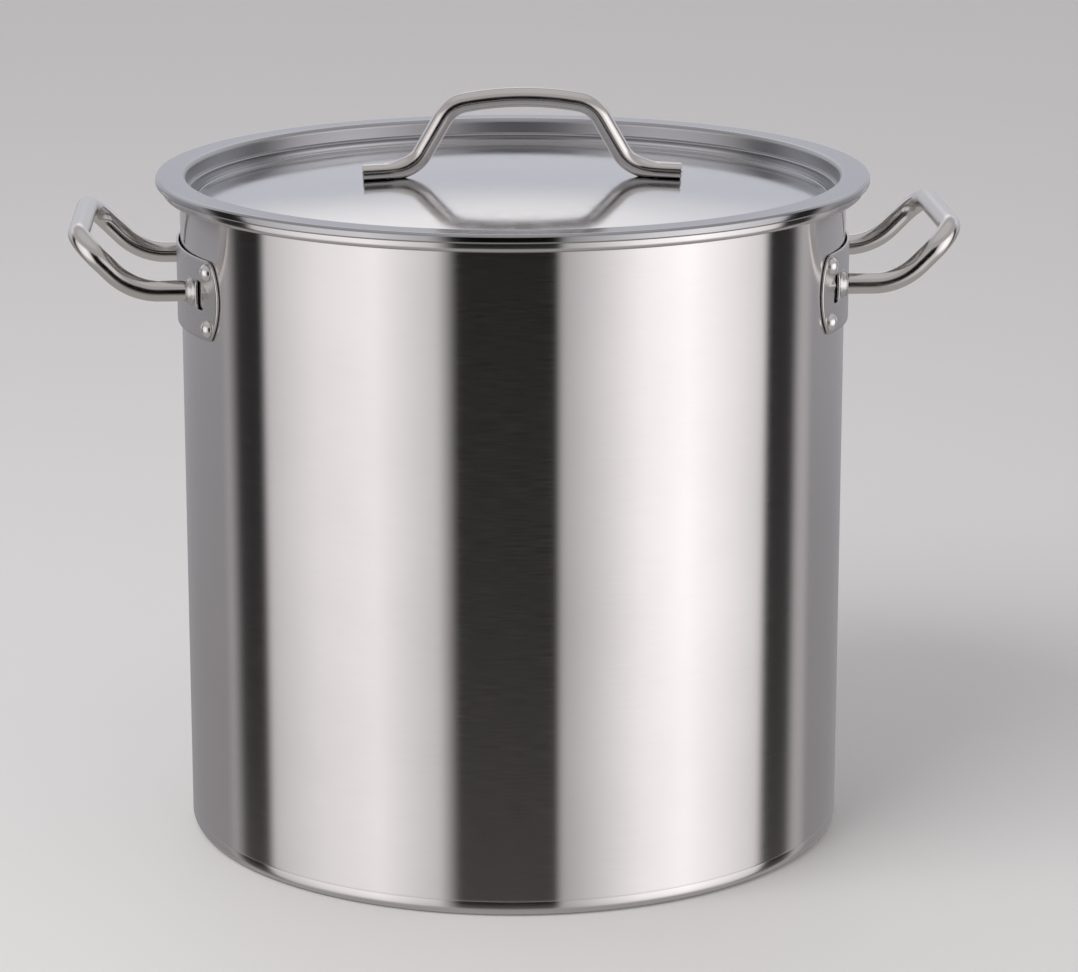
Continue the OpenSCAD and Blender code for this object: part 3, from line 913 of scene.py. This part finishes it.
def build_grip():
    """The grip: both halves of its tube, its feet pressed, tilted on the dome to where it stands."""
    press_start, press_length = -5, 12      # along the tube, from the foot's start
    half, foot_start = grip_track()
    mirrored = []
    for at, forward, up in half[:0:-1]:
        mirrored.append((Vector((-at.x, at.y, at.z)), Vector((forward.x, forward.y, -forward.z)),
                         Vector((-up.x, up.y, up.z))))
    stations = mirrored + half

    def share(i):
        past = abs(stations[i][0].x) - foot_start.x
        return smooth((past - press_start) / press_length)

    def dimple(i):
        past = abs(stations[i][0].x) - foot_start.x - DIMPLE_X
        return DIMPLE_DEPTH * math.exp(-(past / DIMPLE_W) ** 2)

    verts, faces = hollow_sweep(stations, lambda i: foot_section(0, share(i), dimple(i)),
                                lambda i: foot_section(GRIP_T, share(i), dimple(i)))
    tilt = Matrix.Rotation(math.asin(GRIP_SHIFT / DOME_R), 3, "Y")
    centre = Vector((0, 0, CROWN_Z - DOME_R))
    verts = [centre + tilt @ (v + Vector((0, 0, DOME_R))) for v in verts]
    add_piece("lid_grip", verts, facing_out(verts, faces), handle_steel,
              "lid", ["lid_handle"])
    for node in ("lid_weld_left", "lid_weld_right"):
        paint_node(node, weld_steel)


build_pot()
build_base_cap()
for handle_side, handle_name in ((1, "right"), (-1, "left")):
    build_loop(handle_side, handle_name)
    build_plate(handle_side, handle_name)
    build_rivets(handle_side, handle_name)
    build_arm_welds(handle_side, handle_name)
build_lid()
build_grip()

# ---------------------------------------------------------------- studio


def build_floor():
    """A plain floor, in metres, a hair below the pot."""
    size = 12.0
    drop = 0.0002
    mesh = bpy.data.meshes.new("studio_floor")
    corners = [(-size, -size, -drop), (size, -size, -drop), (size, size, -drop), (-size, size, -drop)]
    mesh.from_pydata(corners, [], [(0, 1, 2, 3)])
    material, nodes, _ = new_material("studio_floor")
    shader = nodes["Principled BSDF"]
    shader.inputs["Base Color"].default_value = (0.72, 0.71, 0.70, 1)
    shader.inputs["Roughness"].default_value = 0.6
    mesh.materials.append(material)
    floor = bpy.data.objects.new("studio_floor", mesh)
    bpy.context.scene.collection.objects.link(floor)
    floor.visible_glossy = False   # the steel reflects the studio's cards, not the bare floor


BEARING = 2.8   # degrees by which the view turns to the left of the pot's front

# Brightness of the cards that stand round the pot, by their direction in degrees: 0 is the
# middle of the front, and the right-hand side is positive.
CARDS = [
    (-180, 0.5), (-116, 0.5), (-109, 0.03), (-96, 0.02), (-93, 0.8), (-70, 1.18),
    (-48, 1.34), (-26, 0.85), (-19, 0.005), (14, 0.005), (17, 0.6), (45, 1.42),
    (62, 1.64), (80, 1.3), (95, 1.0), (98, 0.03), (111, 0.03), (117, 0.55), (180, 0.5),
]


def build_world():
    """What the steel reflects, by direction: cards round the pot, a dim back, an even top and table."""
    world = bpy.data.worlds.new("studio")
    bpy.context.scene.world = world
    world.use_nodes = True
    nodes, links = world.node_tree.nodes, world.node_tree.links
    nodes.clear()
    place = nodes.new("ShaderNodeTexCoord")
    split = nodes.new("ShaderNodeSeparateXYZ")
    links.new(place.outputs["Generated"], split.inputs[0])

    def calc(operation, a, b=None):
        return maths(nodes, links, operation, a, b)

    def mix(factor, a, b):
        return blend(nodes, links, factor, a, b)

    def fade(value, low, high):
        node = nodes.new("ShaderNodeMapRange")
        node.interpolation_type = "SMOOTHSTEP"
        node.inputs["From Min"].default_value = low
        node.inputs["From Max"].default_value = high
        links.new(value, node.inputs["Value"])
        return node.outputs["Result"]

    turn = calc("ARCTAN2", split.outputs["X"], calc("MULTIPLY", split.outputs["Y"], -1.0))
    share = calc("ADD", calc("DIVIDE", turn, 2 * math.pi), 0.5 + BEARING / 360)
    cards = nodes.new("ShaderNodeValToRGB")
    stops = cards.color_ramp.elements
    while len(stops) > 1:
        stops.remove(stops[0])
    stops[0].position = 0.0
    for i, (angle, level) in enumerate(CARDS):
        stop = stops[0] if i == 0 else stops.new((angle + 180) / 360)
        stop.color = (level, level * 0.97, level * 0.98, 1)
    links.new(share, cards.inputs["Fac"])
    height = split.outputs["Z"]     # -1 straight down, 0 level, 1 straight up
    from_front = calc("ABSOLUTE", turn)
    # behind the pot the studio is dim low down and bright above the lid's level
    behind = fade(from_front, math.radians(118), math.radians(124))
    low_back = mix(fade(height, -0.3, 0.06), (0.32, 0.31, 0.32), (0.62, 0.63, 0.68))
    middle = fade(from_front, math.radians(166), math.radians(177))
    high_back = mix(middle, (0.8, 0.8, 0.85), (1.15, 1.12, 1.1))
    back = mix(fade(height, 0.2, 0.36), low_back, high_back)
    back = mix(fade(height, 0.48, 0.62), back, (0.5, 0.5, 0.52))
    # low in front, the cards are partly washed out by the table, and high up they end
    table = calc("MULTIPLY", calc("SUBTRACT", 1.0, fade(height, -0.42, -0.31)), 0.3)
    front = mix(table, cards.outputs["Color"], (0.4, 0.38, 0.34))
    front = mix(fade(height, 0.25, 0.5), front, (0.5, 0.48, 0.48))
    # overhead and straight down, where the table is, it is the same all round
    shown = mix(fade(height, 0.75, 0.9), mix(behind, front, back), (0.62, 0.61, 0.62))
    shown = mix(fade(height, -0.75, -0.4), (0.42, 0.41, 0.4), shown)
    studio = nodes.new("ShaderNodeBackground")
    links.new(shown, studio.inputs["Color"])
    plain = nodes.new("ShaderNodeBackground")
    plain.inputs["Color"].default_value = (0.80, 0.79, 0.78, 1)
    # the camera itself sees a plain backdrop
    path = nodes.new("ShaderNodeLightPath")
    choose = nodes.new("ShaderNodeMixShader")
    links.new(path.outputs["Is Camera Ray"], choose.inputs["Fac"])
    links.new(studio.outputs[0], choose.inputs[1])
    links.new(plain.outputs[0], choose.inputs[2])
    output = nodes.new("ShaderNodeOutputWorld")
    links.new(choose.outputs[0], output.inputs["Surface"])


def build_key_light():
    """A big soft light high on the left, which only shades the floor."""
    data = bpy.data.lights.new("key", "AREA")
    data.shape = "RECTANGLE"
    data.size = 2.2
    data.size_y = 1.6
    data.energy = 60
    light = bpy.data.objects.new("key", data)
    light.location = (-1.6, -1.4, 2.6)
    light.rotation_euler = (Vector((0, 0, 0.1)) - light.location).to_track_quat("-Z", "Y").to_euler()
    light.visible_glossy = False
    light.visible_camera = False
    bpy.context.scene.collection.objects.link(light)


def build_camera():
    """The camera, in metres and degrees: it looks down on the pot, and just past its axis."""
    distance, height = 2.3273, 0.8005
    pitch, past_axis = 14.315, 0.388
    data = bpy.data.cameras.new("camera")
    data.sensor_width = 36
    data.lens = 130.06
    data.dof.use_dof = False
    camera = bpy.data.objects.new("camera", data)
    bearing = math.radians(BEARING)
    camera.location = (-distance * math.sin(bearing), -distance * math.cos(bearing), height)
    camera.rotation_euler = (math.radians(90 - pitch), 0, math.radians(-BEARING - past_axis))
    bpy.context.scene.collection.objects.link(camera)
    bpy.context.scene.camera = camera


build_floor()
build_world()
build_key_light()
build_camera()
bpy.context.scene.view_settings.view_transform = "Standard"
